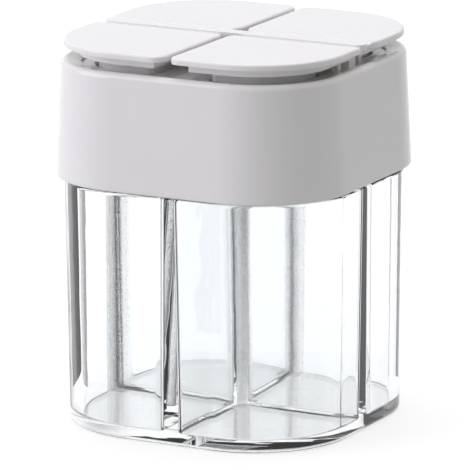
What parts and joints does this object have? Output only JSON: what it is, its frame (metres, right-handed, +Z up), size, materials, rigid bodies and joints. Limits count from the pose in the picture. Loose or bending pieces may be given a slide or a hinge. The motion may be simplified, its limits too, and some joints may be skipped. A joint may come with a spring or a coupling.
{
  "type": "spice dispenser",
  "caption": "Clear square spice jar with four compartments, a white push-on shaker cap and four quarter lids that hinge up along a middle bar.",
  "frame": {"origin": "middle of the jar's flat underside", "axes": "+Z up, X along the hinge bar, +Y towards the back lids"},
  "size_m": [0.084, 0.084, 0.105],
  "materials": {
    "clear_plastic": "polished, transparent moulding",
    "silicone": "soft matt",
    "white_plate": "satin moulding",
    "white_cap": "glossy moulding",
    "white_lid": "glossy moulding"
  },
  "bodies": {
    "jar_body": {"jar": "clear_plastic"},
    "cap": {"cap_shell": "white_cap", "sifter_plate": "white_plate", "gasket": "silicone"},
    "back_right": {"lid_back_right": "white_lid"},
    "back_left": {"lid_back_left": "white_lid"},
    "front_left": {"lid_front_left": "white_lid"},
    "front_right": {"lid_front_right": "white_lid"}
  },
  "joints": [
    {"name": "cap_lift", "type": "slide", "parent": "jar_body", "child": "cap", "axis": [0, 0, 1], "range_m": [0, 0.04]},
    {"name": "hinge_back_right", "type": "hinge", "parent": "cap", "child": "back_right", "pos_m": [0.0196, 0.0049, 0.1025], "axis": [1, 0, 0], "range_deg": [0, 90]},
    {"name": "hinge_back_left", "type": "hinge", "parent": "cap", "child": "back_left", "pos_m": [-0.0196, 0.0049, 0.1025], "axis": [1, 0, 0], "range_deg": [0, 90]},
    {"name": "hinge_front_left", "type": "hinge", "parent": "cap", "child": "front_left", "pos_m": [-0.0196, -0.0049, 0.1025], "axis": [-1, 0, 0], "range_deg": [0, 90]},
    {"name": "hinge_front_right", "type": "hinge", "parent": "cap", "child": "front_right", "pos_m": [0.0196, -0.0049, 0.1025], "axis": [-1, 0, 0], "range_deg": [0, 90]}
  ]
}
